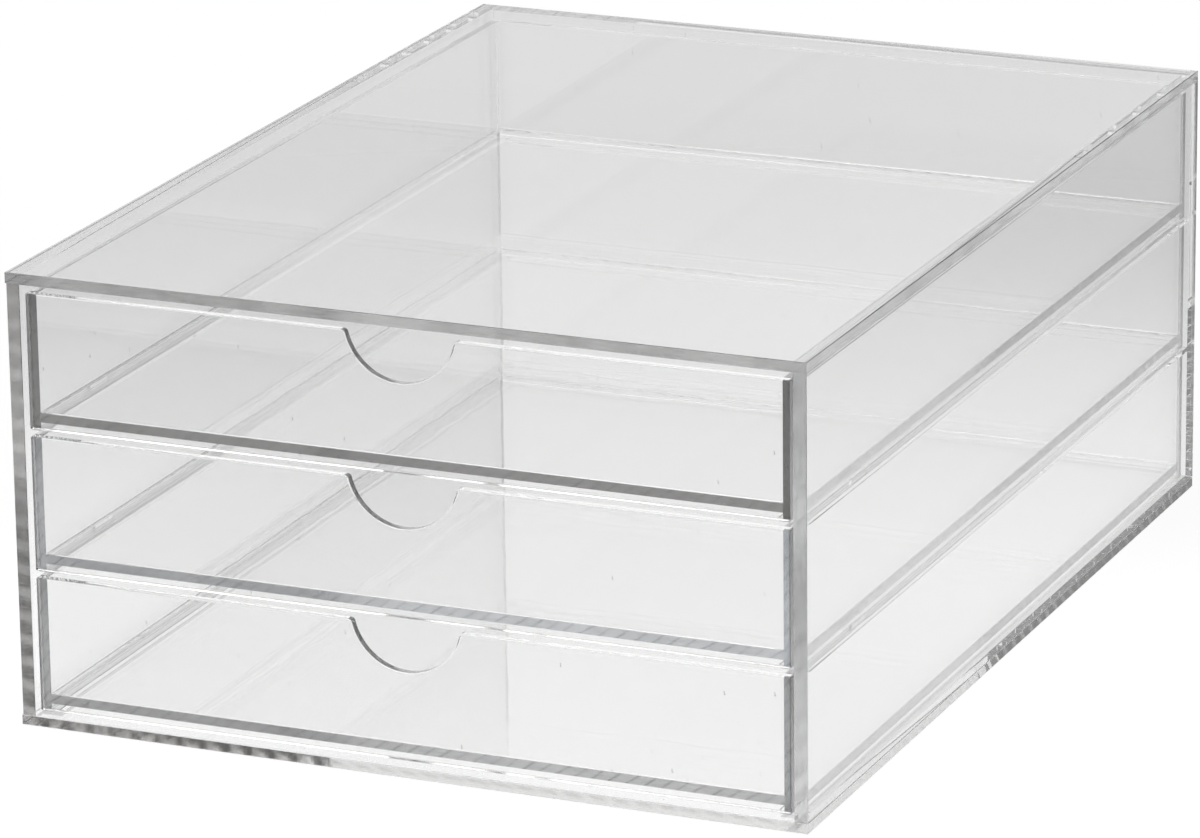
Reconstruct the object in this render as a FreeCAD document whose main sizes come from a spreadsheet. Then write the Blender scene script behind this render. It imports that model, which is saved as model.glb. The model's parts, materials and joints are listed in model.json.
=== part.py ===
import FreeCAD, Part
import Sketcher
import os
import re

# Letter tray stack: an open-fronted case of clear acrylic sheet with three
# pull-out drawers. Every piece is a flat sheet cut to size, its exposed
# arrises eased, and solvent-welded face to face with its neighbours.
# Origin: centre of the case's bottom face. +Z up, the open front faces -Y.

# Driving sizes in millimetres, with what each one is
SIZES = {
    "case_width": (255.0, "outside width of the case, over its top and bottom plates"),
    "case_depth": (346.0, "outside depth of the case, front to back"),
    "case_height": (142.2, "outside height of the case"),
    "cover_thick": (3.4, "sheet of the top and bottom plates"),
    "wall_thick": (4.2, "sheet of the case's sides and back"),
    "left_trim": (0.5, "how far the plates stand proud of the left side, which was trimmed back"),
    "drawer_sheet": (2.9, "sheet of the drawers"),
    "side_gap": (1.3, "air between a drawer and the case, on each side"),
    "top_gap": (2.8, "air between the top drawer and the case's top plate"),
    "stack_gap": (0.7, "air between a drawer's rim and the rail above it"),
    "front_recess": (1.1, "how far a closed drawer's face lies behind the case's front"),
    "back_gap": (0.8, "air behind a closed drawer"),
    "drawer_lip": (2.0, "how far a drawer's walls reach below its floor"),
    "rail_thick": (1.5, "strip that a drawer slides on"),
    "rail_reach": (2.2, "how far a rail reaches in past the drawer's wall that it carries"),
    "rail_setback": (5.0, "from the case's front to the start of a rail"),
    "pad_length": (12.3, "guide pad over each rail, front to back"),
    "pad_height": (2.0, "guide pad's height over the rail"),
    "pad_setback": (38.4, "from the case's front to the guide pad"),
    "pad_clearance": (0.3, "air between a guide pad and the drawer that it centres"),
    "scoop_width": (34.8, "finger scoop's arc at the rim, before its shoulders are rounded"),
    "scoop_depth": (14.5, "how deep the scoop cuts into a drawer's front"),
    "scoop_shoulder": (1.5, "rounding where the scoop meets the rim"),
    "arris": (0.3, "eased edge of a polished sheet"),
}

# Drawers from the lowest level up, and the levels with a guide pad on each rail
LEVELS = ("bottom", "middle", "top")
PADDED = ("middle", "top")

# Places and sizes that follow from the driving sizes
BAY_LEFT = "(left_trim + wall_thick - case_width / 2)"
BAY_RIGHT = "(case_width / 2 - wall_thick)"
BAY_BACK = "(case_depth / 2 - wall_thick)"
BAY_FRONT = "(-case_depth / 2)"
BAY_WIDTH = "(case_width - left_trim - 2 * wall_thick)"
WALL_HEIGHT = "(case_height - 2 * cover_thick)"
STACK_AIR = f"(top_gap + {len(LEVELS) - 1} * stack_gap)"
DRAWER_HEIGHT = f"(({WALL_HEIGHT} - {STACK_AIR}) / {len(LEVELS)} - rail_thick)"
DRAWER_PITCH = f"({DRAWER_HEIGHT} + stack_gap + rail_thick)"
DRAWER_WIDTH = f"({BAY_WIDTH} - 2 * side_gap)"
DRAWER_LEFT = f"({BAY_LEFT} + side_gap)"
DRAWER_FRONT = f"({BAY_FRONT} + front_recess)"
DRAWER_BACK = f"({BAY_BACK} - back_gap)"
WALL_START = f"({DRAWER_FRONT} + drawer_sheet)"
WALL_LENGTH = f"({DRAWER_BACK} - {DRAWER_FRONT} - 2 * drawer_sheet)"
FLOOR_WIDTH = f"({DRAWER_WIDTH} - 2 * drawer_sheet)"
RAIL_WIDTH = "(side_gap + drawer_sheet + rail_reach)"
RAIL_START = f"({BAY_FRONT} + rail_setback)"
RAIL_LENGTH = f"({BAY_BACK} - {RAIL_START})"
PAD_THICK = "(side_gap - pad_clearance)"
SCOOP_RADIUS = "((scoop_width * scoop_width / 4 + scoop_depth * scoop_depth) / (2 * scoop_depth))"

# The six faces of a sheet, as a coordinate and a limit of its bounding box
FACES = {
    "left": ("x", "XMin"),
    "right": ("x", "XMax"),
    "front": ("y", "YMin"),
    "back": ("y", "YMax"),
    "bottom": ("z", "ZMin"),
    "top": ("z", "ZMax"),
}

# Two points closer than this are the same point
NEAR = 0.0001

doc = FreeCAD.newDocument("letter_tray_stack")
sheet = doc.addObject("Spreadsheet::Sheet", "Sizes")
for row, (alias, (value, note)) in enumerate(SIZES.items(), start=1):
    sheet.set(f"A{row}", alias)
    sheet.set(f"B{row}", str(value))
    sheet.set(f"C{row}", note)
    sheet.setAlias(f"B{row}", alias)
doc.recompute()


def formula(text):
    """The text with each size's name turned into its spreadsheet cell."""
    return re.sub(r"[a-z][a-z_]+", lambda name: "Sizes." + name.group(), text)


def bind(thing, prop, text):
    """Tie one property to a formula of named sizes."""
    thing.setExpression(prop, formula(text))


def worth(text):
    """What a formula of named sizes is worth now, in millimetres."""
    return float(sheet.evalExpression(formula(text)))


def origin_plane(body, role):
    """One of the body's own origin planes."""
    return next(plane for plane in body.Origin.OriginFeatures if plane.Role == role)


def new_sketch(body, name, plane):
    """An empty sketch on one of the body's origin planes."""
    sketch = body.newObject("Sketcher::SketchObject", name)
    sketch.AttachmentSupport = [(origin_plane(body, plane), "")]
    sketch.MapMode = "FlatFace"
    return sketch


def name_size(sketch, constraint, name, text):
    """Add a dimension to the sketch and tie it to a formula."""
    index = sketch.addConstraint(constraint)
    sketch.renameConstraint(index, name)
    bind(sketch, "Constraints." + name, text)


def draw_rectangle(sketch, across, up):
    """A rectangle with its lower corner on the sketch's origin."""
    wide, tall = worth(across), worth(up)
    corners = [(0, 0), (wide, 0), (wide, tall), (0, tall)]
    points = [FreeCAD.Vector(x, y, 0) for x, y in corners]
    for start, end in zip(points, points[1:] + points[:1]):
        sketch.addGeometry(Part.LineSegment(start, end), False)
    bottom, right, top, left = range(4)
    for first, second in ((bottom, right), (right, top), (top, left), (left, bottom)):
        sketch.addConstraint(Sketcher.Constraint("Coincident", first, 2, second, 1))
    for line in (bottom, top):
        sketch.addConstraint(Sketcher.Constraint("Horizontal", line))
    for line in (left, right):
        sketch.addConstraint(Sketcher.Constraint("Vertical", line))
    sketch.addConstraint(Sketcher.Constraint("Coincident", bottom, 1, -1, 1))
    name_size(sketch, Sketcher.Constraint("DistanceX", bottom, 1, bottom, 2, wide), "across", across)
    name_size(sketch, Sketcher.Constraint("DistanceY", right, 1, right, 2, tall), "up", up)


def lies_on(edge, shape, face):
    """Whether both ends of an edge lie on one of the sheet's six faces."""
    coordinate, limit = FACES[face]
    plane = getattr(shape.BoundBox, limit)
    return all(abs(getattr(end.Point, coordinate) - plane) < NEAR for end in edge.Vertexes)


def edge_names(shape, wanted):
    """The names of the shape's edges that a test picks."""
    return [f"Edge{count}" for count, edge in enumerate(shape.Edges, start=1) if wanted(edge)]


def ease(body, last, wanted):
    """Chamfer the picked edges of a body's last feature."""
    chamfer = body.newObject("PartDesign::Chamfer", body.Name + "_eased")
    chamfer.Base = (last, edge_names(last.Shape, wanted))
    bind(chamfer, "Size", "arris")
    return chamfer


def cut_blank(label, plane, across, up, thick, corner):
    """A sheet before its edges are finished: a rectangle padded by the sheet's thickness.

    corner is the place of its left, front, bottom corner.
    """
    body = doc.addObject("PartDesign::Body", label)
    body.Label = label
    outline = new_sketch(body, label + "_outline", plane)
    draw_rectangle(outline, across, up)
    pad = body.newObject("PartDesign::Pad", label + "_sheet")
    pad.Profile = outline
    pad.Reversed = plane == "XZ_Plane"
    bind(pad, "Length", thick)
    for coordinate, place in zip("xyz", corner):
        bind(body, "Placement.Base." + coordinate, place)
    doc.recompute()
    return body, pad


def cut_sheet(label, plane, across, up, thick, corner, eased=()):
    """A finished sheet. eased lists its chamfered edges, each as the two faces that meet there."""
    body, pad = cut_blank(label, plane, across, up, thick, corner)
    if eased:
        ease(body, pad, lambda edge: any(
            lies_on(edge, pad.Shape, first) and lies_on(edge, pad.Shape, second)
            for first, second in eased))
    return body


def make_case():
    """Top and bottom plates over two sides, with the back let in between the sides."""
    upright = [(front, side) for front in ("front", "back") for side in ("left", "right")]
    for label, height, rim in (("case_bottom", "0", "bottom"),
                               ("case_top", "case_height - cover_thick", "top")):
        around = [(rim, face) for face in ("left", "right", "front", "back")]
        cut_sheet(label, "XY_Plane", "case_width", "case_depth", "cover_thick",
                  ("-case_width / 2", BAY_FRONT, height), around + upright)
    for label, start, outer, inner in (
            ("case_side_left", f"{BAY_LEFT} - wall_thick", "left", "right"),
            ("case_side_right", BAY_RIGHT, "right", "left")):
        cut_sheet(label, "YZ_Plane", "case_depth", WALL_HEIGHT, "wall_thick",
                  (start, BAY_FRONT, "cover_thick"),
                  [("front", outer), ("front", inner), ("back", outer)])
    cut_sheet("case_back", "XZ_Plane", BAY_WIDTH, WALL_HEIGHT, "wall_thick",
              (BAY_LEFT, BAY_BACK, "cover_thick"))


def make_rails(level, seat):
    """The two strips that a drawer slides on."""
    for side, start, inner in (("left", BAY_LEFT, "right"),
                               ("right", f"{BAY_RIGHT} - {RAIL_WIDTH}", "left")):
        cut_sheet(f"rail_{level}_{side}", "XY_Plane", RAIL_WIDTH, RAIL_LENGTH, "rail_thick",
                  (start, RAIL_START, f"{seat} - rail_thick"),
                  [("top", inner), ("front", inner)])


def make_guide_pads(level, seat):
    """The two thin pads on the case's sides that keep a drawer centred."""
    for side, start in (("left", BAY_LEFT), ("right", f"{BAY_RIGHT} - {PAD_THICK}")):
        cut_sheet(f"guide_pad_{level}_{side}", "YZ_Plane", "pad_length", "pad_height", PAD_THICK,
                  (start, f"{BAY_FRONT} + pad_setback", seat))


def make_drawer_front(label, seat):
    """The drawer's face, with the finger scoop cut out of its rim."""
    body, pad = cut_blank(label, "XZ_Plane", DRAWER_WIDTH, DRAWER_HEIGHT, "drawer_sheet",
                          (DRAWER_LEFT, DRAWER_FRONT, seat))
    scoop = new_sketch(body, label + "_scoop_arc", "XZ_Plane")
    middle = f"{DRAWER_WIDTH} / 2"
    height = f"{DRAWER_HEIGHT} - scoop_depth + {SCOOP_RADIUS}"
    centre = FreeCAD.Vector(worth(middle), worth(height), 0)
    circle = scoop.addGeometry(Part.Circle(centre, FreeCAD.Vector(0, 0, 1), worth(SCOOP_RADIUS)), False)
    name_size(scoop, Sketcher.Constraint("DistanceX", -1, 1, circle, 3, worth(middle)), "middle", middle)
    name_size(scoop, Sketcher.Constraint("DistanceY", -1, 1, circle, 3, worth(height)), "height", height)
    name_size(scoop, Sketcher.Constraint("Radius", circle, worth(SCOOP_RADIUS)), "radius", SCOOP_RADIUS)
    pocket = body.newObject("PartDesign::Pocket", label + "_scoop")
    pocket.Profile = scoop
    pocket.Type = "ThroughAll"
    pocket.Reversed = False
    doc.recompute()
    if pocket.Shape.Volume >= pad.Shape.Volume:
        raise RuntimeError(label + ": the scoop cut nothing")

    shoulders = body.newObject("PartDesign::Fillet", label + "_shoulders")
    shoulders.Base = (pocket, edge_names(pocket.Shape, lambda edge: (
        lies_on(edge, pocket.Shape, "top")
        and not any(lies_on(edge, pocket.Shape, face) for face in ("left", "right", "front", "back")))))
    bind(shoulders, "Radius", "scoop_shoulder")
    doc.recompute()

    def rim(edge):
        inner_rim = lies_on(edge, shoulders.Shape, "back") and not any(
            lies_on(edge, shoulders.Shape, face) for face in ("left", "right", "bottom"))
        return inner_rim or lies_on(edge, shoulders.Shape, "front")

    ease(body, shoulders, rim)


def make_drawer(level, seat):
    """Front and back sheets over the ends of two side walls, with the floor let in between all four."""
    make_drawer_front(f"drawer_{level}_front", seat)
    cut_sheet(f"drawer_{level}_back", "XZ_Plane", DRAWER_WIDTH, DRAWER_HEIGHT, "drawer_sheet",
              (DRAWER_LEFT, f"{DRAWER_BACK} - drawer_sheet", seat),
              [("top", "front"), ("top", "back"), ("back", "left"), ("back", "right"), ("back", "bottom")])
    for side, start in (("left", DRAWER_LEFT),
                        ("right", f"{DRAWER_LEFT} + {DRAWER_WIDTH} - drawer_sheet")):
        cut_sheet(f"drawer_{level}_side_{side}", "YZ_Plane", WALL_LENGTH, DRAWER_HEIGHT, "drawer_sheet",
                  (start, WALL_START, seat),
                  [(rim, face) for rim in ("top", "bottom") for face in ("left", "right")])
    cut_sheet(f"drawer_{level}_floor", "XY_Plane", FLOOR_WIDTH, WALL_LENGTH, "drawer_sheet",
              (f"{DRAWER_LEFT} + drawer_sheet", WALL_START, f"{seat} + drawer_lip"))


make_case()
for count, level in enumerate(LEVELS):
    seat = f"(cover_thick + rail_thick + {count} * {DRAWER_PITCH})"
    make_rails(level, seat)
    if level in PADDED:
        make_guide_pads(level, seat)
    make_drawer(level, seat)
doc.recompute()

# Nothing is written unless every object is sound
for thing in doc.Objects:
    if "Invalid" in thing.State or "Error" in thing.State:
        raise RuntimeError(f"{thing.Label}: {thing.State}")
pieces = [thing for thing in doc.Objects if thing.TypeId == "PartDesign::Body"]
for piece in pieces:
    if piece.Shape.isNull() or not piece.Shape.isValid() or len(piece.Shape.Solids) != 1:
        raise RuntimeError(piece.Label + ": not one sound solid")

os.makedirs("parts", exist_ok=True)
for piece in pieces:
    piece.Shape.exportStep(f"parts/{piece.Label}.step")
    box = piece.Shape.BoundBox
    print(f"{piece.Label:28s} x {box.XMin:8.2f} {box.XMax:8.2f}  y {box.YMin:8.2f} {box.YMax:8.2f}"
          f"  z {box.ZMin:7.2f} {box.ZMax:7.2f}  {piece.Shape.Volume / 1000:8.2f} cm3")
print(f"{len(pieces)} pieces")
print(f"room in a drawer: {worth(FLOOR_WIDTH):.1f} by {worth(WALL_LENGTH):.1f} mm")
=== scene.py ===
# %% [markdown]
# # A clear acrylic letter tray stack
#
# The object is a desk-top case of colourless cast acrylic sheet, open at the
# front, with three drawers that slide out on thin bonded rails. Everything is a
# flat sheet cut to size, so the whole look comes from three things: how the
# sheet bends and mirrors light, how its cut edges scatter it, and where two
# sheets are welded so that light passes from one to the next.
#
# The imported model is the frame: it says where each sheet lies and what it moves
# with. Nothing here changes a size.

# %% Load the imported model
import bmesh
import bpy
import json
import math
from mathutils import Matrix, Vector


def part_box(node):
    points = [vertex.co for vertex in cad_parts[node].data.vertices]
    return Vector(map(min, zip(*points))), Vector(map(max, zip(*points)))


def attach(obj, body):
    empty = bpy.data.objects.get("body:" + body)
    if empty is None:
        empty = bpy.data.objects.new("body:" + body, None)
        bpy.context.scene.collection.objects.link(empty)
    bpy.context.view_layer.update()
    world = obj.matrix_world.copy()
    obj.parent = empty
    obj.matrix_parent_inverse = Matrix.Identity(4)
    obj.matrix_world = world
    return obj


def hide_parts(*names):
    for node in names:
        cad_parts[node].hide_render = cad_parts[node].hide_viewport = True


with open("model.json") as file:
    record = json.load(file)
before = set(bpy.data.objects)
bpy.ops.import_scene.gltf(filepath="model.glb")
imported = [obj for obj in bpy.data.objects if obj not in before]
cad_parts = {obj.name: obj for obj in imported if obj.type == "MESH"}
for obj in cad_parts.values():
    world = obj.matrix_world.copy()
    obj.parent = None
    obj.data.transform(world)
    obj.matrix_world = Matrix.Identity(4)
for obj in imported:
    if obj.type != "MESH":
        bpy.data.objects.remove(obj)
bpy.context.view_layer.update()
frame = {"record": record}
MM = 0.001

# %% [markdown]
# ## What one sheet needs
#
# Each piece of the record is one sheet, so a table of their boxes is enough to
# work from. A sheet's thin axis is the one along which its box is smallest. The
# two wide faces across that axis are as cast, mirror smooth, and everything
# round them is a cut edge.

# %% A table of the sheets
SHEETS = {}
for body, parts in frame["record"]["behaviour"]["bodies"].items():
    for node in parts:
        low, high = (tuple(corner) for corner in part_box(node))
        sizes = [high[axis] - low[axis] for axis in range(3)]
        SHEETS[node] = {"body": body, "low": low, "high": high, "thin": sizes.index(min(sizes))}

for node, facts in list(SHEETS.items())[:3]:
    size = [round((b - a) / MM, 1) for a, b in zip(facts["low"], facts["high"])]
    print(node, size, "mm, thin along", "XYZ"[facts["thin"]])

# %% [markdown]
# ## Where the sheets meet
#
# Two kinds of joint matter to the eye. In the case the solvent has melted the
# sheets into one, so light crosses from plate to wall to rail unchanged, and
# the lower edges all look dark or light together. In the drawers, the sawn end
# of one sheet only stands on the wide face of another. The solvent fills just
# the low places, and the end still shows as a grey band, with a mirror's shine
# from inside the sheet because there is air behind it.
#
# Both are found from the boxes: every rectangle where two sheets of one body
# touch is a patch. A weld is a see-through patch on both sheets. A sawn end gets
# its own finish, and it is drawn a fiftieth of a millimetre short, so that it
# doesn't lie in one plane with the face that it stands on.

# %% Find the joints
TOUCH = 0.01 * MM


def meeting_patch(one, other):
    """The (axis, place, low, high) of the rectangle where two boxes meet, or None."""
    for axis in range(3):
        for place, facing in ((one["high"][axis], other["low"][axis]), (one["low"][axis], other["high"][axis])):
            if abs(place - facing) > TOUCH:
                continue
            low = [max(one["low"][k], other["low"][k]) for k in range(3)]
            high = [min(one["high"][k], other["high"][k]) for k in range(3)]
            if all(high[k] - low[k] > TOUCH for k in range(3) if k != axis):
                return axis, place, low, high
    return None


WELDS = {node: [] for node in SHEETS}
SAWN_ENDS = {node: [] for node in SHEETS}
for node, facts in SHEETS.items():
    for other, other_facts in SHEETS.items():
        if other == node or other_facts["body"] != facts["body"]:
            continue
        patch = meeting_patch(facts, other_facts)
        if patch and facts["body"] == "case":
            WELDS[node].append(patch)
        elif patch and patch[0] != facts["thin"]:
            SAWN_ENDS[node].append(patch)

print(sum(map(len, WELDS.values())) // 2, "welds,", sum(map(len, SAWN_ENDS.values())), "sawn ends")

# %% [markdown]
# ## The finger scoop
#
# Each drawer's front has a shallow arc cut out of its rim with a router, and
# the corners where the arc meets the rim are rounded over. The outline is drawn
# in the plane of the sheet, anticlockwise, from the sizes of the arc.

# %% Outline of a drawer's front
SCOOP_WIDTH, SCOOP_DEPTH, SCOOP_SHOULDER = 34.8 * MM, 14.5 * MM, 1.5 * MM
ARC_STEPS, SHOULDER_STEPS = 56, 8


def arc(centre, radius, start, end, steps):
    """Points on a circle from one angle to another, ends included."""
    turns = [start + (end - start) * step / steps for step in range(steps + 1)]
    return [(centre[0] + radius * math.cos(turn), centre[1] + radius * math.sin(turn)) for turn in turns]


def scooped_outline(low, high):
    """A rectangle from low to high with the scoop cut out of its upper side."""
    middle, rim = (low[0] + high[0]) / 2, high[1]
    radius = (SCOOP_WIDTH ** 2 / 4 + SCOOP_DEPTH ** 2) / (2 * SCOOP_DEPTH)
    centre = (middle, rim - SCOOP_DEPTH + radius)
    shoulder_z = rim - SCOOP_SHOULDER
    reach = radius + SCOOP_SHOULDER
    shoulder_x = math.sqrt(reach ** 2 - (centre[1] - shoulder_z) ** 2)
    meet = math.atan2(shoulder_z - centre[1], shoulder_x)
    right = arc((middle + shoulder_x, shoulder_z), SCOOP_SHOULDER, math.pi / 2, math.pi + meet, SHOULDER_STEPS)
    sweep = arc(centre, radius, meet, -math.pi - meet, ARC_STEPS)
    left = arc((middle - shoulder_x, shoulder_z), SCOOP_SHOULDER, -meet, math.pi / 2, SHOULDER_STEPS)
    return [low, (high[0], low[1]), high, *right, *sweep[1:-1], *left, (low[0], high[1])]


# %% [markdown]
# ## The slots of a sheet
#
# One sheet of acrylic has very different surfaces: wide faces as cast, edges
# that a scraper or a flame went over, raw ends inside joints, and a routed
# scoop. A mesh can carry them all if each surface has a material slot of its
# own, so the slots are named first, and every sheet has them in this order.
#
# A real cut edge is never sharp, because a flame polisher or a scraper takes
# the arris off. That rounding draws the dark and bright lines round clear
# sheet. On the drawers' rims it is wide enough to bend what is seen under it.

# %% Slots and roundings
SLOTS = ("wide face", "edge to the front", "weld", "end to the front", "end to the right", "edge to the right",
         "edge to the back or left", "routed scoop", "rounded corner", "end of a drawer's front",
         "end to the back or left", "painted shadow under a wall")
(WIDE, EDGE, WELD, FRONT_END, SIDE_END, SIDE_EDGE,
 FAR_EDGE, ROUTED, CORNER, RAW_END, FAR_END, SHADOW_UNDER_WALL) = range(len(SLOTS))
ARRIS, SEAM_ARRIS, ARRIS_STEPS = 0.16 * MM, 0.28 * MM, 2
RIM_ARRIS, RIM_STEPS = 0.45 * MM, 5
SLIDE_AIR = 0.06 * MM
BOND = 0.02 * MM
STRAIGHT = 0.99
print(len(SLOTS), "slots on each sheet")

# %% [markdown]
# ## Cutting a sheet
#
# A sheet is its outline pushed through its thickness. It is then scored along
# the borders of its joints, so that each joint is a face of its own, and every
# free corner is rounded over. All of this is done with bmesh, because a
# modifier can't tell a welded corner from a free one.

# %% Helpers: outline, thickness and score lines
def outline_of(node, low, high, across):
    """The sheet's outline on its two wide axes."""
    flat_low = tuple(low[k] for k in across)
    flat_high = tuple(high[k] for k in across)
    if node.endswith("_front"):
        return scooped_outline(flat_low, flat_high)
    return [flat_low, (flat_high[0], flat_low[1]), flat_high, (flat_low[0], flat_high[1])]


def push_through(work, outline, across, thin, near, far):
    """Close a solid between two copies of an outline."""
    rings = []
    for depth in (near, far):
        ring = []
        for point in outline:
            place = [0.0, 0.0, 0.0]
            place[across[0]], place[across[1]], place[thin] = point[0], point[1], depth
            ring.append(work.verts.new(place))
        rings.append(ring)
    count = len(outline)
    work.faces.new(rings[0])
    work.faces.new(rings[1])
    for k in range(count):
        after = (k + 1) % count
        work.faces.new((rings[0][k], rings[0][after], rings[1][after], rings[1][k]))
    bmesh.ops.recalc_face_normals(work, faces=work.faces)


def score(work, axis, place):
    """Cut every face of the sheet along one plane."""
    normal = [0.0, 0.0, 0.0]
    normal[axis] = 1.0
    point = [0.0, 0.0, 0.0]
    point[axis] = place
    everything = list(work.verts) + list(work.edges) + list(work.faces)
    bmesh.ops.bisect_plane(work, geom=everything, dist=1e-7, plane_co=point, plane_no=normal)


# %% Helpers: where a face lies
def in_patch(face, patch):
    """Whether a face lies in the rectangle of a joint."""
    axis, place, low, high = patch
    middle = face.calc_center_median()
    flat = abs(face.normal[axis]) > STRAIGHT and abs(middle[axis] - place) < 2 * BOND
    return flat and all(low[k] - TOUCH < middle[k] < high[k] + TOUCH for k in range(3) if k != axis)


def covers(patch, face):
    """Whether a face lies straight under or over a welded patch of a lying sheet."""
    axis, place, low, high = patch
    middle = face.calc_center_median()
    return axis == 2 and all(low[k] < middle[k] < high[k] for k in (0, 1))


SHARP_ANGLE = math.radians(40)


def is_free_corner(edge, thin):
    """Whether an edge is a sharp outer corner that no joint covers.

    A plate keeps its arris where a wall stands on it, because that weld is on its wide face.
    """
    for face in edge.link_faces:
        end_weld = face.material_index == WELD and abs(face.normal[thin]) < STRAIGHT
        if end_weld or face.material_index in (FRONT_END, SIDE_END, FAR_END):
            return False
    return len(edge.link_faces) == 2 and edge.calc_face_angle() > SHARP_ANGLE


# %% [markdown]
# ## A map for the marks
#
# Saw marks run across an edge, whichever way the edge points. So each sheet
# gets a UV map in metres: on a cut edge U runs along it and V across it, and on
# a wide face they are simply the place on the sheet.

# %% Helper: the map
FACE_SHIFT = 0.3


def lay_out(work, across, thin):
    """Lay the map on a sheet. The two wide faces are shifted apart, so that their dust differs."""
    layer = work.loops.layers.uv.new("sheet_map")
    for face in work.faces:
        is_wide = abs(face.normal[thin]) > STRAIGHT
        for loop in face.loops:
            place = loop.vert.co
            first, second = place[across[0]], place[across[1]]
            on_face = (first + FACE_SHIFT * place[thin], second)
            loop[layer].uv = on_face if is_wide else (first + second, place[thin])


# %% Helper: leave air round a sheet
def leave_air(node, facts):
    """The sheet's box, with its raw ends drawn short and a drawer lifted clear of its rails."""
    low, high = list(facts["low"]), list(facts["high"])
    if facts["body"] != "case" and not node.endswith("_floor"):
        low[2] += SLIDE_AIR
    for axis in {patch[0] for patch in SAWN_ENDS[node]}:
        places = [patch[1] for patch in SAWN_ENDS[node] if patch[0] == axis]
        if any(abs(place - low[axis]) < TOUCH for place in places):
            low[axis] += BOND
        if any(abs(place - high[axis]) < TOUCH for place in places):
            high[axis] -= BOND
    return low, high


# %% Helper: the slot of each face
CURVED = 0.9999


def slot_of(node, face, thin):
    """The slot of one face, from where it points and which joint it lies in."""
    to_front = face.normal[1] < -0.5
    to_far = face.normal[1] > 0.5 or face.normal[0] < -0.5
    is_wide = abs(face.normal[thin]) > STRAIGHT
    # Painted shadow: the bottom plate's underside under each wall gets a darker see-through tint, a contact shadow.
    if node == "case_bottom" and face.normal[2] < -STRAIGHT and any(covers(patch, face) for patch in WELDS[node]):
        return SHADOW_UNDER_WALL
    if any(in_patch(face, patch) for patch in WELDS[node]):
        return WELD
    if any(in_patch(face, patch) for patch in SAWN_ENDS[node]):
        return FRONT_END if to_front else FAR_END if to_far else SIDE_END
    if node.endswith("_front") and abs(face.normal[0]) > STRAIGHT:
        return RAW_END
    if is_wide:
        return WIDE
    if max(abs(value) for value in face.normal) < CURVED:
        return ROUTED
    return EDGE if to_front else FAR_EDGE if to_far else SIDE_EDGE


# %% Helper: cut one sheet
def cut_sheet(node):
    """The mesh of one sheet, with a face for each joint and its free corners rounded."""
    facts = SHEETS[node]
    thin, is_front = facts["thin"], node.endswith("_front")
    low, high = leave_air(node, facts)
    across = [axis for axis in range(3) if axis != thin]
    work = bmesh.new()
    push_through(work, outline_of(node, low, high, across), across, thin, low[thin], high[thin])
    for axis, place, patch_low, patch_high in WELDS[node] + SAWN_ENDS[node]:
        for k in (k for k in range(3) if k != axis):
            for border in (patch_low[k], patch_high[k]):
                if low[k] + 2 * BOND < border < high[k] - 2 * BOND:
                    score(work, k, border)
    work.normal_update()
    for face in work.faces:
        face.material_index = slot_of(node, face, thin)
        face.smooth = face.material_index == ROUTED
    corners = [edge for edge in work.edges if is_free_corner(edge, thin)]
    arris = RIM_ARRIS if is_front else SEAM_ARRIS if node == "case_bottom" else ARRIS
    steps = RIM_STEPS if is_front else ARRIS_STEPS
    rounded = bmesh.ops.bevel(work, geom=corners, offset=arris, offset_type="OFFSET", segments=steps,
                              profile=0.5, affect="EDGES", material=CORNER, clamp_overlap=True)
    for face in rounded["faces"]:
        face.smooth = True
    lay_out(work, across, thin)
    mesh = bpy.data.meshes.new(node + "_sheet")
    work.to_mesh(mesh)
    work.free()
    return mesh


# %% [markdown]
# ## Shader helpers
#
# Nodes are made and linked in code, so two short helpers keep the rest of the
# file readable: one opens a node group with plain number sockets, the other
# adds a node and links or sets its inputs in the same line.

# %% Helper: a node group
def new_group(name, inputs, outputs):
    """A shader node group with plain sockets, and its two end nodes."""
    group = bpy.data.node_groups.new(name, "ShaderNodeTree")
    for socket, default in inputs.items():
        entry = group.interface.new_socket(socket, in_out="INPUT", socket_type="NodeSocketFloat")
        entry.default_value = default
    for socket in outputs:
        group.interface.new_socket(socket, in_out="OUTPUT", socket_type="NodeSocketFloat")
    return group, group.nodes.new("NodeGroupInput"), group.nodes.new("NodeGroupOutput")


# %% Helpers: nodes, sums and colours
def add(tree, kind, links=(), **settings):
    """A node with its settings, and its inputs linked or set by name or number."""
    node = tree.nodes.new(kind)
    for name, value in settings.items():
        setattr(node, name, value)
    for socket, value in dict(links).items():
        if isinstance(value, bpy.types.NodeSocket):
            tree.links.new(value, node.inputs[socket])
        else:
            node.inputs[socket].default_value = value
    return node


def sums(tree, operation, *values):
    """One Math node's result."""
    return add(tree, "ShaderNodeMath", dict(enumerate(values)), operation=operation).outputs[0]


def grey(level, warm=0.0):
    """A grey, warmer or cooler by a little."""
    return (level * (1 + warm), level, level * (1 - warm), 1.0)


def ramp_of(tree, value, dark, light, start=0.0, end=1.0):
    """A colour between two, by a value."""
    ramp = add(tree, "ShaderNodeValToRGB", {"Fac": value})
    first, last = ramp.color_ramp.elements
    first.position, first.color = start, dark
    last.position, last.color = end, light
    return ramp.outputs["Color"]


# %% Helpers: the sheet's map and stretched noise
def sheet_map(tree):
    """The place on the sheet's own map."""
    return add(tree, "ShaderNodeUVMap", uv_map="sheet_map").outputs["UV"]


def map_range(tree, value, start, end, low=0.0, high=1.0, smooth=False):
    """A value carried from one range to another."""
    kind = "SMOOTHSTEP" if smooth else "LINEAR"
    links = {"Value": value, "From Min": start, "From Max": end, "To Min": low, "To Max": high}
    return add(tree, "ShaderNodeMapRange", links, interpolation_type=kind).outputs["Result"]


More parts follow.
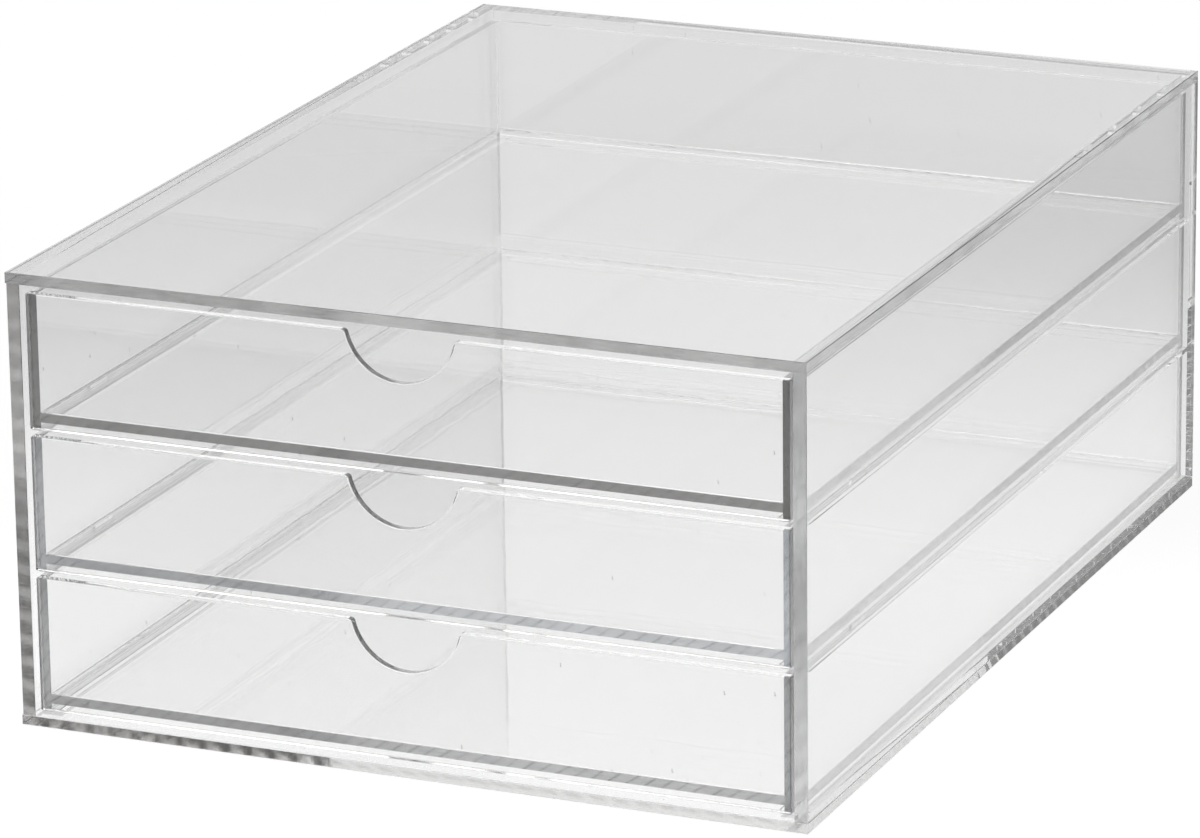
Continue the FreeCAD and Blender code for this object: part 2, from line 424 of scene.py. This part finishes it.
def map_noise(tree, along, across, detail):
    """Noise on the sheet's map, with its own number of cells to the metre along and across an edge."""
    stretched = add(tree, "ShaderNodeVectorMath", {0: sheet_map(tree), 1: (along, across, 1.0)}, operation="MULTIPLY")
    links = {"Vector": stretched.outputs["Vector"], "Scale": 1.0, "Detail": detail}
    return add(tree, "ShaderNodeTexNoise", links).outputs["Fac"]


# %% [markdown]
# ## Ripple, specks, saw marks and scraper lines
#
# Cast sheet is never quite flat: lines seen through it waver. It also draws dust,
# which shows as a few tiny dark specks on every face. A sawn edge carries the
# marks of the blade: broad waves from the feed, deeper in some stretches than in
# others, and fine chatter across the sheet. A scraper leaves long fine lines
# and cloudy stretches instead, and thin dark ticks where it missed a saw mark.
#
# Each of these is a node group that gives a height or a mask, built once and
# placed in each finish with its own values.

# %% Node group: ripple of a cast face
def make_ripple():
    """Height of a cast sheet's slow unevenness."""
    group, start, end = new_group("cast_ripple", {"Scale": 14.0}, ["Height"])
    place = add(group, "ShaderNodeTexCoord")
    noise = add(group, "ShaderNodeTexNoise", {"Vector": place.outputs["Object"], "Scale": start.outputs["Scale"],
                                              "Detail": 1.0, "Roughness": 0.4})
    group.links.new(noise.outputs["Fac"], end.inputs["Height"])
    return group


RIPPLE = make_ripple()
print("group:", RIPPLE.name)


# %% Node group: specks of dust
def make_specks():
    """Mask of a few tiny specks, 1 on a speck."""
    group, start, end = new_group("dust_specks", {"Scale": 60.0, "Size": 0.022}, ["Mask"])
    cells = add(group, "ShaderNodeTexVoronoi", {"Vector": sheet_map(group), "Scale": start.outputs["Scale"],
                                                "Randomness": 1.0}, voronoi_dimensions="2D")
    sizes = add(group, "ShaderNodeSeparateXYZ", {"Vector": cells.outputs["Color"]})
    size = sums(group, "MULTIPLY", sizes.outputs["X"], start.outputs["Size"])
    speck = map_range(group, cells.outputs["Distance"], size, sums(group, "MULTIPLY", size, 0.5))
    group.links.new(speck, end.inputs["Mask"])
    return group


SPECKS = make_specks()
print("group:", SPECKS.name)


# %% Helper: waves along an edge
def waves(group, slant, pitch, drift, amount, sharpness):
    """Regular waves along an edge, 0 to 1, that lean by slant and wander by amount times drift."""
    split = add(group, "ShaderNodeSeparateXYZ", {"Vector": sheet_map(group)})
    leaning = sums(group, "MULTIPLY_ADD", split.outputs["Y"], slant, split.outputs["X"])
    turn = sums(group, "DIVIDE", sums(group, "MULTIPLY", leaning, 2 * math.pi), pitch)
    turn = sums(group, "MULTIPLY_ADD", drift, amount, turn)
    wave = sums(group, "MULTIPLY_ADD", sums(group, "SINE", turn), 0.5, 0.5)
    return sums(group, "POWER", wave, sharpness)


# %% Node group: saw marks
def make_saw_marks():
    """Height and stain of a sawn edge: ridges, deeper in some stretches, with fine chatter over them."""
    group, start, end = new_group("saw_marks", {"Pitch": 0.0076, "Slant": 0.8, "Ridges": 1.0, "Chatter": 0.25},
                                  ["Height", "Stain"])
    drift = map_noise(group, 30.0, 130.0, 1.0)
    wave = waves(group, start.outputs["Slant"], start.outputs["Pitch"], drift, 4.0, 2.5)
    stretches = map_range(group, map_noise(group, 11.0, 11.0, 1.0), 0.40, 0.62, 0.3, 1.0)
    ridge = sums(group, "MULTIPLY", wave, sums(group, "MULTIPLY", stretches, start.outputs["Ridges"]))
    chatter = sums(group, "MULTIPLY", map_noise(group, 1600.0, 120.0, 2.0), start.outputs["Chatter"])
    both = sums(group, "ADD", ridge, chatter)
    group.links.new(both, end.inputs["Height"])
    group.links.new(both, end.inputs["Stain"])
    return group


SAW = make_saw_marks()
print("group:", SAW.name)


# %% Node group: a scraper's lines
TICK_PITCH, TICK_SLANT, TICK_DRIFT, TICK_SHARPNESS = 0.0054, -1.4, 6.0, 45.0


def make_scraper_lines():
    """Height and stain of a scraped edge: long fine lines, cloudy stretches, and thin dark ticks from the saw."""
    group, start, end = new_group("scraper_lines", {"Lines": 0.4, "Clouds": 0.6, "Ticks": 0.0}, ["Height", "Stain"])
    lines = map_noise(group, 90.0, 2600.0, 2.0)
    clouds = map_noise(group, 60.0, 25.0, 3.0)
    tick = waves(group, TICK_SLANT, TICK_PITCH, clouds, TICK_DRIFT, TICK_SHARPNESS)
    stain = sums(group, "ADD", sums(group, "MULTIPLY", lines, start.outputs["Lines"]),
                 sums(group, "MULTIPLY", clouds, start.outputs["Clouds"]))
    stain = sums(group, "SUBTRACT", stain, sums(group, "MULTIPLY", tick, start.outputs["Ticks"]))
    group.links.new(lines, end.inputs["Height"])
    group.links.new(stain, end.inputs["Stain"])
    return group


SCRAPER = make_scraper_lines()
print("group:", SCRAPER.name)

# %% [markdown]
# ## The finishes
#
# Clear acrylic has a refractive index of 1.49, a little under window glass, and
# hardly any tint. All finishes are that one material, treated differently:
#
# - wide faces are mirror smooth, with a slow ripple and a little dust;
# - rims and rails were polished, so they are nearly as clear;
# - edges to the front were scraped to an even grey satin, or show saw waves;
# - raw ends inside the drawers' joints are grey, partly as a raw cut is and
#   partly painted shade, a different grey on each drawer;
# - a weld lets light through untouched.
#
# The tint sits in Base Color and darkens only light that crosses the surface.
# On cut edges and raw ends it is partly the grey of a rough cut and partly
# painted shade; on the right walls, two left walls and the bottom plate's
# underside under the walls it is painted shade only.

# %% Helper: an empty acrylic
ACRYLIC_IOR = 1.49


def new_material(name, transmission=1.0):
    """An empty material with a Principled shader for acrylic. Frosted places let less than all of the light through."""
    material = bpy.data.materials.new(name)
    material.use_nodes = True
    tree = material.node_tree
    shader = tree.nodes["Principled BSDF"]
    shader.inputs["IOR"].default_value = ACRYLIC_IOR
    shader.inputs["Transmission Weight"].default_value = transmission
    shader.inputs["Metallic"].default_value = 0.0
    return material, tree, shader


def finish_surface(tree, shader, tint, height, depth):
    """Give a shader its tint and its unevenness."""
    bump = add(tree, "ShaderNodeBump", {"Height": height, "Strength": 1.0, "Distance": depth})
    tree.links.new(tint, shader.inputs["Base Color"])
    tree.links.new(bump.outputs["Normal"], shader.inputs["Normal"])


# %% Helper: wide faces and polished rims
def make_face_finish(name, scale, depth, rough=0.0, dust=0.57, clear=0.990, transmission=1.0):
    """A wide face, as cast, with dust. Without dust and with a little roughness it serves for polished rims."""
    material, tree, shader = new_material(name, transmission)
    specks = add(tree, "ShaderNodeGroup", node_tree=SPECKS)
    ripple = add(tree, "ShaderNodeGroup", {"Scale": scale}, node_tree=RIPPLE)
    tint = ramp_of(tree, specks.outputs["Mask"], grey(clear), grey(clear - dust, 0.01))
    finish_surface(tree, shader, tint, ripple.outputs["Height"], depth)
    shader.inputs["Roughness"].default_value = rough
    return material


# %% Finishes of faces and rims
WALL_FACE = make_face_finish("acrylic_face", 14.0, 0.03 * MM)
# Painted shade: the right walls, and the left walls of the bottom and middle drawers, get copies of the face with a
# darker see-through tint.
RIGHT_FACE_SHADED = make_face_finish("acrylic_face_right_painted_shade", 14.0, 0.03 * MM, clear=0.950)
LEFT_FACE_SHADED = make_face_finish("acrylic_face_left_painted_shade", 14.0, 0.03 * MM, clear=0.93)
FLOOR_FACE = make_face_finish("acrylic_floor_face", 34.0, 0.035 * MM)
RAIL_FACE = make_face_finish("acrylic_rail_face", 20.0, 0.01 * MM, dust=0.0)
RIM = make_face_finish("edge_rim", 30.0, 0.02 * MM, rough=0.05, dust=0.0)
FROSTED = make_face_finish("edge_frosted", 30.0, 0.02 * MM, rough=0.35, dust=0.0, transmission=0.4)
SEAM = make_face_finish("cement_seam", 30.0, 0.02 * MM, rough=0.4, dust=0.0, transmission=0.15)
# Painted shadow: a contact shadow under the walls, as a see-through tint of one half.
PAINTED_CONTACT_SHADOW = make_face_finish("acrylic_painted_contact_shadow", 20.0, 0.01 * MM, rough=0.05, dust=0.0, clear=0.5)
print("wall face:", WALL_FACE.name, "rim:", RIM.name)

# %% [markdown]
# ## Cut edges
#
# A cut edge takes one of the two groups of marks. The same value that raises
# the bump also shades the tint and the roughness, because a ridge left by the
# blade is both higher and duller. A run of an edge, given on its map in metres,
# may have tints of its own: painted light and shade, a lighter or darker stretch
# of the edge.

# %% Helpers: cut edges
def inside_run(tree, start, end, soft):
    """1 on a run of the edge and 0 outside it, with soft borders."""
    along = add(tree, "ShaderNodeSeparateXYZ", {"Vector": sheet_map(tree)}).outputs["X"]
    after = map_range(tree, along, start - soft, start + soft)
    until = map_range(tree, along, end + soft, end - soft)
    return sums(tree, "MULTIPLY", after, until)


def make_edge_finish(name, group, marks, tints, rough, depth, span, run=None, painted_light_and_shade_tints=None):
    """A cut edge, from raw or scraped satin to flame polish. Tints and roughness go from low to high marks."""
    material, tree, shader = new_material(name)
    saw = add(tree, "ShaderNodeGroup", marks, node_tree=group)
    stain = saw.outputs["Stain"]
    tint = ramp_of(tree, stain, *tints, *span)
    if run:
        links = {0: inside_run(tree, *run), 6: tint, 7: ramp_of(tree, stain, *painted_light_and_shade_tints, *span)}
        tint = add(tree, "ShaderNodeMix", links, data_type="RGBA").outputs[2]
    finish_surface(tree, shader, tint, saw.outputs["Height"], depth)
    tree.links.new(map_range(tree, stain, 0.0, 1.0, *rough), shader.inputs["Roughness"])
    return material


# %% Finishes of the case's edges
# Painted light: the lower part of the case walls' front edges takes lighter tints.
LIT_WALL_FOOT = (-0.20, -0.125, 0.02)
# Painted light: the right part of the bottom plate's front edge and the front half of its right edge take lighter
# tints.
LIT_PLATE_RUN = (-0.2075, 0.1095, 0.004)
EVEN = (0.38, 0.62)
# The tints of the case's edges and of the routed scoop are partly the grey of a rough cut and partly painted shade,
# darker than a clear cut would be.
SCRAPED = make_edge_finish(
    "edge_scraped", SCRAPER, {"Lines": 0.5, "Clouds": 0.5}, (grey(0.20, 0.01), grey(0.50, 0.01)),
    (0.14, 0.26), 0.02 * MM, EVEN)
SCRAPED_LEFT = make_edge_finish(
    "edge_scraped_left", SAW, {"Slant": 0.3, "Ridges": 0.8, "Chatter": 0.75}, (grey(0.17, 0.03), grey(0.38, 0.02)),
    (0.10, 0.22), 0.04 * MM, (0.35, 0.75), LIT_WALL_FOOT, (grey(0.15, 0.05), grey(0.98, 0.03)))
SCRAPED_RIGHT = make_edge_finish(
    "edge_scraped_right", SCRAPER, {"Lines": 0.45, "Clouds": 0.55}, (grey(0.20, -0.015), grey(0.50, -0.01)),
    (0.12, 0.24), 0.02 * MM, EVEN, LIT_WALL_FOOT, (grey(0.5, -0.005), grey(0.98)))
POLISHED = make_edge_finish(
    "edge_polished", SAW, {"Chatter": 0.012}, (grey(0.13, 0.02), grey(0.9, 0.01)),
    (0.01, 0.04), 0.11 * MM, (0.1, 0.8), LIT_PLATE_RUN, (grey(0.84, 0.008), grey(0.97, 0.004)))
WAVED = make_edge_finish(
    "edge_waved", SAW, {"Slant": 0.5, "Chatter": 0.2}, (grey(0.30, 0.05), grey(0.95, 0.03)),
    (0.06, 0.12), 0.012 * MM, (0.1, 0.95), LIT_PLATE_RUN, (grey(0.78, 0.012), grey(0.96, 0.006)))
TOP_SIDE = make_edge_finish(
    "edge_satin", SCRAPER, {"Lines": 0.5, "Clouds": 0.5}, (grey(0.44), grey(0.78)),
    (0.08, 0.18), 0.02 * MM, EVEN)
SCOOPED = make_edge_finish(
    "edge_routed", SCRAPER, {"Lines": 0.7, "Clouds": 0.3}, (grey(0.14), grey(0.36)),
    (0.06, 0.14), 0.01 * MM, (0.36, 0.64))
print("front edges:", SCRAPED.name, SCRAPED_LEFT.name, SCRAPED_RIGHT.name, WAVED.name)

# %% Finishes of the raw ends
# Painted shade: most raw ends of each drawer are darkened to a grey of their own, and the top drawer's, over nearly all
# their length, to almost black. The grey is partly that of a raw cut.
SHADED_END_RUN = (-0.1985, 1.0, 0.003)
END_GREY_AND_SHADE = {"case": (grey(0.40), grey(0.96)), "drawer_bottom": (grey(0.03, -0.03), grey(0.62, -0.02)),
             "drawer_middle": (grey(0.12, -0.09), grey(0.92, -0.06)), "drawer_top": (grey(0.03, 0.03), grey(0.44, 0.03))}
END_SHADE_RUN_TINTS = {**END_GREY_AND_SHADE, "drawer_top": (grey(0.01, 0.03), grey(0.17, 0.03))}
ENDS = {}
for body, tints in END_GREY_AND_SHADE.items():
    ENDS[body] = make_edge_finish(
        "sawn_end_grey_and_shade_" + body, SCRAPER, {"Lines": 0.5, "Clouds": 0.5, "Ticks": 0.5}, tints,
        (0.14, 0.30), 0.02 * MM, (0.1, 0.62), SHADED_END_RUN, END_SHADE_RUN_TINTS[body])
print(len(ENDS), "raw ends")

# %% Finishes of the floors' ends
# Painted light and shade: the right end of each drawer's floor is darkened to a grey of its own for each drawer, except
# its front part, which takes lighter tints.
LIT_FLOOR_RUN = (-1.0, 0.1047, 0.004)
CLEAR_END = (grey(0.66), grey(0.97))
FLOOR_END_GREY_AND_SHADE = {"drawer_bottom": (grey(0.10), grey(0.85)), "drawer_middle": (grey(0.06), grey(0.98)),
               "drawer_top": (grey(0.03), grey(0.5))}
FLOOR_FAR = make_edge_finish(
    "floor_far_end", SAW, {"Ridges": 0.8, "Chatter": 0.02}, CLEAR_END, (0.01, 0.04), 0.10 * MM, (0.1, 0.9))
FLOOR_ENDS = {}
for body, tints in FLOOR_END_GREY_AND_SHADE.items():
    FLOOR_ENDS[body] = make_edge_finish(
        "floor_end_grey_and_shade_" + body, SAW, {"Ridges": 1.2, "Chatter": 0.05}, tints,
        (0.02, 0.06), 0.06 * MM, (0.1, 0.8), LIT_FLOOR_RUN, CLEAR_END)
print(len(FLOOR_ENDS), "floors' ends")


# %% Finish of a weld
def make_weld_finish(name):
    """A solvent weld: light passes as if the two sheets were one."""
    material, tree, shader = new_material(name)
    shader.inputs["Base Color"].default_value = (1.0, 1.0, 1.0, 1.0)
    shader.inputs["Alpha"].default_value = 0.0
    return material


WELDED = make_weld_finish("acrylic_weld")
print("weld:", WELDED.name)

# %% [markdown]
# ## Setting the sheets in place
#
# Every sheet is cut at its own place, and takes the place of its node. Most
# sheets share the same finishes, so a short function picks them, slot by slot,
# and only the case's plates and front edges have finishes of their own.

# %% Pick the finishes of a sheet
FRONTS = {"case_bottom": WAVED, "case_top": SCRAPED, "case_side_left": SCRAPED_LEFT, "case_side_right": SCRAPED_RIGHT}
SIDES = {"case_bottom": POLISHED, "case_top": TOP_SIDE}


def face_of(node):
    """The finish of a sheet's wide faces."""
    if node.endswith("_floor"):
        return FLOOR_FACE
    if "rail" in node or "pad" in node:
        return RAIL_FACE
    # Right walls, and the left walls of the bottom and middle drawers, take the face copies with painted shade.
    if node.endswith("_side_right"):
        return RIGHT_FACE_SHADED
    return LEFT_FACE_SHADED if node in ("drawer_bottom_side_left", "drawer_middle_side_left") else WALL_FACE


def finishes_of(node, body):
    """The finish of each of a sheet's slots, in the order of SLOTS."""
    front_edge = FRONTS.get(node, RIM)
    corner = SEAM if node == "case_bottom" else front_edge
    side_end = far_end = ENDS["case"] if node.endswith(("_left", "_back")) else ENDS[body]
    if node.endswith("_floor"):
        side_end, far_end = FLOOR_ENDS[body], FLOOR_FAR
    return (face_of(node), front_edge, WELDED, ENDS[body], side_end, SIDES.get(node, RIM),
            RIM, SCOOPED, corner, FROSTED, far_end, PAINTED_CONTACT_SHADOW)


print(len(finishes_of("case_top", "case")), "finishes for", len(SLOTS), "slots")

# %% Build every sheet
for node, facts in SHEETS.items():
    mesh = cut_sheet(node)
    for finish in finishes_of(node, facts["body"]):
        mesh.materials.append(finish)
    sheet = bpy.data.objects.new(node + "_sheet", mesh)
    bpy.context.scene.collection.objects.link(sheet)
    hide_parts(node)
    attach(sheet, facts["body"])
print(len(SHEETS), "sheets cut")

# %% [markdown]
# ## Beads of cement
#
# The cement that is run into a joint creeps out on the inner side and dries as
# a thin clear bead with a hollow face. It is hardly half a millimetre wide, but
# it bends light so strongly that it draws the fine dark and white lines along
# every inner corner of a drawer. Each bead is one closed ring round the floor,
# swept with a section that has two legs and a hollow between them. A slow wave
# in its width keeps it from looking ruled.

# %% Section of a bead
BEAD, BEAD_STEP, HOLLOW_STEPS = 0.4 * MM, 4.0 * MM, 4
BEAD_CLEAR = make_face_finish("cement_bead", 30.0, 0.01 * MM)


def bead_width(run, seed):
    """The bead's leg at a distance along it: never quite even."""
    return BEAD * (0.9 + 0.06 * math.sin(run * 60.0 + seed) + 0.04 * math.sin(run * 190.0 + 2.1 * seed))


def bead_section(leg):
    """Points (inward, up) of the bead's section, from the floor leg over the hollow to the wall leg."""
    hollow = [(leg * (1 - math.sin(turn)), leg * (1 - math.cos(turn)))
              for turn in (math.pi / 2 * step / HOLLOW_STEPS for step in range(HOLLOW_STEPS + 1))]
    return [(0.0, 0.0)] + hollow


print("bead", BEAD / MM, "mm wide")


# %% Helpers: the bead's way and its mesh
def bead_way(low, high, seed):
    """Places round the rectangle low to high, with the way inward and the bead's width at each."""
    corners = [(low[0], low[1]), (high[0], low[1]), (high[0], high[1]), (low[0], high[1])]
    inward = [(1, 1), (-1, 1), (-1, -1), (1, -1)]
    points, run = [], 0.0
    for k in range(4):
        start, end = Vector(corners[k]), Vector(corners[(k + 1) % 4])
        length = (end - start).length
        steps = round(length / BEAD_STEP)
        way = (end - start) / length
        side = Vector((-way.y, way.x))
        for step in range(steps):
            push = Vector(inward[k]) if step == 0 else side
            points.append((start + (end - start) * step / steps, push, bead_width(run + length * step / steps, seed)))
        run += length
    return points


def make_bead(name, body, low, high, seed):
    """A closed ring of bead round the rectangle low to high, on the floor at low z."""
    work = bmesh.new()
    rings = []
    for place, push, leg in bead_way(low, high, seed):
        rings.append([work.verts.new((place.x + push.x * inner, place.y + push.y * inner, low[2] + rise))
                      for inner, rise in bead_section(leg)])
    for k, ring in enumerate(rings):
        after = rings[(k + 1) % len(rings)]
        for m in range(len(ring)):
            n = (m + 1) % len(ring)
            face = work.faces.new((ring[m], ring[n], after[n], after[m]))
            face.smooth = 0 < m < len(ring) - 1
    bmesh.ops.recalc_face_normals(work, faces=work.faces)
    mesh = bpy.data.meshes.new(name)
    work.to_mesh(mesh)
    work.free()
    mesh.materials.append(BEAD_CLEAR)
    bead = bpy.data.objects.new(name, mesh)
    bpy.context.scene.collection.objects.link(bead)
    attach(bead, body)
    return bead


# %% Build the beads
for seed, level in enumerate(("bottom", "middle", "top")):
    part = {piece: SHEETS[f"drawer_{level}_{piece}"] for piece in ("front", "back", "side_left", "side_right", "floor")}
    low = (part["side_left"]["high"][0] + BOND, part["front"]["high"][1] + BOND, part["floor"]["high"][2] + BOND)
    high = (part["side_right"]["low"][0] - BOND, part["back"]["low"][1] - BOND)
    bead = make_bead(f"cement_bead_{level}", f"drawer_{level}", low, high, 1.0 + seed)
    print(bead.name, len(bead.data.polygons), "faces")

# %% [markdown]
# ## The ground and the light
#
# Such things are photographed on a white sweep. The ground is one large plane.
# The camera, and the rays that mirror or pass through the acrylic, see it as
# The camera sees it as plain white with only a little of the object's shadow
# in it, and it is a matt white for every ray that neither mirrors nor passes
# through the acrylic. Those rays see the same little shadow over a painted pool
# of light: a glow that falls from 1.05 in front of the object to 0.65 away from
# it, which is what gives clear sheet its soft greys.

# %% Floor
PAINTED_POOL_CENTRE = (0.08, -0.25, 0.0)
reach, ground_z = 6.0, -0.3 * MM
floor_mesh = bpy.data.meshes.new("ground")
floor_mesh.from_pydata([(-reach, -reach, ground_z), (reach, -reach, ground_z),
                        (reach, reach, ground_z), (-reach, reach, ground_z)], [], [(0, 1, 2, 3)])
ground = bpy.data.objects.new("ground", floor_mesh)
bpy.context.scene.collection.objects.link(ground)
print("ground", 2 * reach, "m square")

# %% Floor's paint
ground_paint = bpy.data.materials.new("white_ground")
ground_paint.use_nodes = True
tree = ground_paint.node_tree
tree.nodes.clear()
path = add(tree, "ShaderNodeLightPath")
seen = sums(tree, "MAXIMUM", path.outputs["Is Camera Ray"], path.outputs["Is Glossy Ray"])
seen = sums(tree, "MAXIMUM", seen, path.outputs["Is Transmission Ray"])
matt = add(tree, "ShaderNodeBsdfDiffuse", {"Color": (0.95, 0.95, 0.95, 1.0)})
spot = add(tree, "ShaderNodeTexCoord")
apart = add(tree, "ShaderNodeVectorMath", {0: spot.outputs["Object"], 1: PAINTED_POOL_CENTRE}, operation="DISTANCE")
blank = map_range(tree, apart.outputs["Value"], 0.35, 0.8, 0.92, 1.0, smooth=True)
share = sums(tree, "MULTIPLY", seen, blank)
# Painted pool of light: the glow seen in mirrors and through the acrylic falls from 1.05 near the centre to 0.65 away
# from it.
painted_pool = map_range(tree, apart.outputs["Value"], 0.28, 0.78, 1.05, 0.65, smooth=True)
level = sums(tree, "MAXIMUM", painted_pool, path.outputs["Is Camera Ray"])
glow = add(tree, "ShaderNodeEmission", {"Color": (1.0, 1.0, 1.0, 1.0), "Strength": level})
mix = add(tree, "ShaderNodeMixShader", {"Fac": share, 1: matt.outputs[0], 2: glow.outputs[0]})
add(tree, "ShaderNodeOutputMaterial", {"Surface": mix.outputs[0]})
floor_mesh.materials.append(ground_paint)
print("paint", ground_paint.name)

# %% [markdown]
# ## The studio
#
# The world is the room: bright low down behind the object, where the sweep
# rises, grey at mid height, and white overhead. To the sides and behind the
# camera the room is darker, and the sheets' edges, which pipe light through
# their whole length, pick up that darkness as grey and nearly black bands. Two
# soft boxes overhead add the thin white lines on rounded rims.

# %% World
SWEEP_WAY = (-0.398, 0.917, 0.0)
ROOM = [(0.0, 0.88), (0.35, 0.84), (0.5, 0.5), (0.65, 0.45), (0.85, 1.0)]

world = bpy.data.worlds.new("studio")
bpy.context.scene.world = world
world.use_nodes = True
tree = world.node_tree
tree.nodes.clear()
place = add(tree, "ShaderNodeTexCoord")
split = add(tree, "ShaderNodeSeparateXYZ", {"Vector": place.outputs["Generated"]})
ramp = add(tree, "ShaderNodeValToRGB", {"Fac": split.outputs["Z"]})
marks = ramp.color_ramp.elements
marks[0].position, marks[0].color = ROOM[0][0], (ROOM[0][1],) * 3 + (1.0,)
marks[1].position, marks[1].color = ROOM[-1][0], (ROOM[-1][1],) * 3 + (1.0,)
for position, level in ROOM[1:-1]:
    marks.new(position).color = (level, level, level, 1.0)
ahead = add(tree, "ShaderNodeVectorMath", {0: place.outputs["Generated"], 1: SWEEP_WAY}, operation="DOT_PRODUCT")
sweep = map_range(tree, ahead.outputs["Value"], 0.66, 0.88, 0.14, 1.0, smooth=True)
above = map_range(tree, split.outputs["Z"], 0.45, 0.8, smooth=True)
level = sums(tree, "MAXIMUM", sweep, above)
studio = add(tree, "ShaderNodeBackground", {"Color": ramp.outputs["Color"], "Strength": level})
add(tree, "ShaderNodeOutputWorld", {"Surface": studio.outputs[0]})
print("world", world.name)

# %% Soft boxes
SOFT_BOXES = {"soft_box_overhead": ((-0.12, -0.38, 1.15), 0.75, 7.5), "soft_box_right": ((0.8, -0.65, 0.95), 0.5, 3.0)}
for name, (spot, size, power) in SOFT_BOXES.items():
    lamp = bpy.data.lights.new(name, "AREA")
    lamp.size, lamp.energy = size, power
    holder = bpy.data.objects.new(name, lamp)
    holder.location = spot
    holder.rotation_euler = (-Vector(spot)).to_track_quat("-Z", "Y").to_euler()
    bpy.context.scene.collection.objects.link(holder)
print(len(SOFT_BOXES), "soft boxes")

# %% [markdown]
# ## The camera
#
# The camera stands to the right of the front and a little above, about two
# metres away, with a long lens. Its place was found by fitting the case's
# corners to the picture, in widths of the case.

# %% Camera
CASE_WIDTH = 255.0 * MM
AZIMUTH, ELEVATION, ROLL = math.radians(23.4657), math.radians(17.5512), math.radians(-0.7444)
DISTANCE, ACROSS, UPWARD = 8.6283 * CASE_WIDTH, -0.0401 * CASE_WIDTH, 0.2249 * CASE_WIDTH
back = Vector((math.sin(AZIMUTH) * math.cos(ELEVATION), -math.cos(AZIMUTH) * math.cos(ELEVATION),
               math.sin(ELEVATION)))
right = Vector((math.cos(AZIMUTH), math.sin(AZIMUTH), 0.0))
up = back.cross(right)
place = back * DISTANCE + right * ACROSS + up * UPWARD
rolled_right = right * math.cos(ROLL) + up * math.sin(ROLL)
rolled_up = up * math.cos(ROLL) - right * math.sin(ROLL)
lens = bpy.data.cameras.new("camera")
lens.lens, lens.sensor_width, lens.sensor_fit = 208.44, 36.0, "HORIZONTAL"
lens.clip_start, lens.clip_end = 0.05, 50.0
camera = bpy.data.objects.new("camera", lens)
turn = Matrix((rolled_right, rolled_up, back)).transposed()
camera.matrix_world = Matrix.Translation(place) @ turn.to_4x4()
bpy.context.scene.collection.objects.link(camera)
bpy.context.scene.camera = camera

print("camera", [round(value, 3) for value in place])

# %% [markdown]
# ## Light paths
#
# A look through three drawers crosses dozens of faces. With few bounces the
# light would end inside and the sheets would turn black, so each kind of path
# may be long.

# %% Light paths
scene = bpy.context.scene
scene.view_settings.view_transform = "Standard"
scene.cycles.max_bounces = 48
scene.cycles.transmission_bounces = 48
scene.cycles.glossy_bounces = 48
scene.cycles.transparent_max_bounces = 64
print("bounces", scene.cycles.max_bounces)
